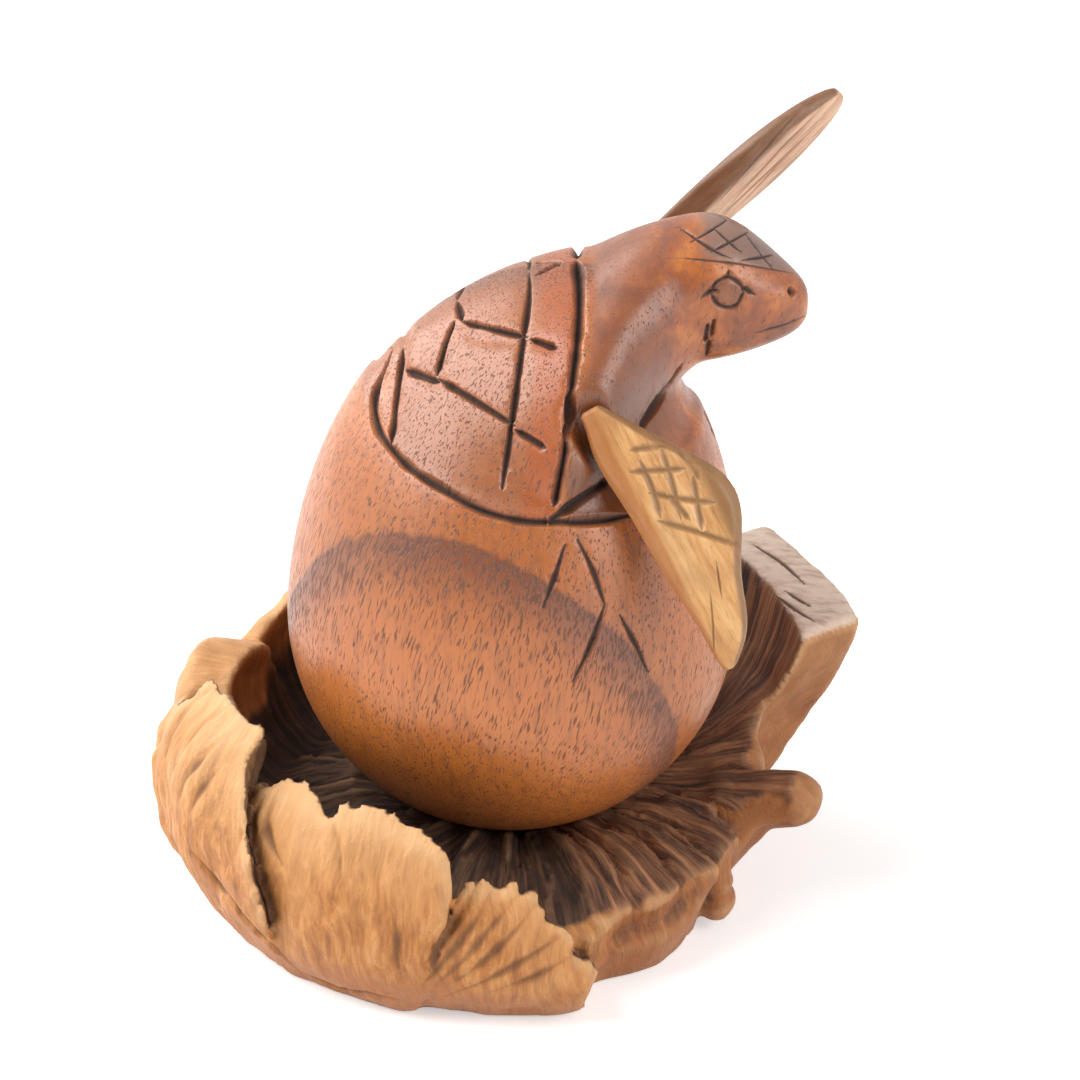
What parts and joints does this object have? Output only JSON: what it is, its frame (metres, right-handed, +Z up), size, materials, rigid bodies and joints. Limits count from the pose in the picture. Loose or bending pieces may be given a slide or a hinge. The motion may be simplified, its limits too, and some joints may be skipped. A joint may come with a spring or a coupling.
{
  "type": "turtle figurine",
  "caption": "Carved wooden sea-turtle hatchling leaving its egg, with separate flippers, standing on a flower-like natural wood base; a shelf ornament.",
  "frame": {"origin": "centre of the flat sawn underside of the base, on the surface that it stands on", "axes": "+Z up, +X the way the turtle's head points, +Y to the turtle's left"},
  "size_m": [0.0994, 0.0919, 0.1098],
  "materials": {
    "base_wood": "raw, lightly oiled",
    "carved_wood": "satin oiled",
    "pale_wood": "satin oiled",
    "brown_wood": "satin oiled",
    "dowel_wood": "raw"
  },
  "bodies": {
    "root": {"wood_base": "base_wood", "turtle_in_egg": "carved_wood", "right_front_flipper": "pale_wood", "left_front_flipper": "brown_wood", "right_flipper_pin": "dowel_wood", "left_flipper_pin": "dowel_wood", "base_dowel": "dowel_wood"}
  },
  "joints": []
}
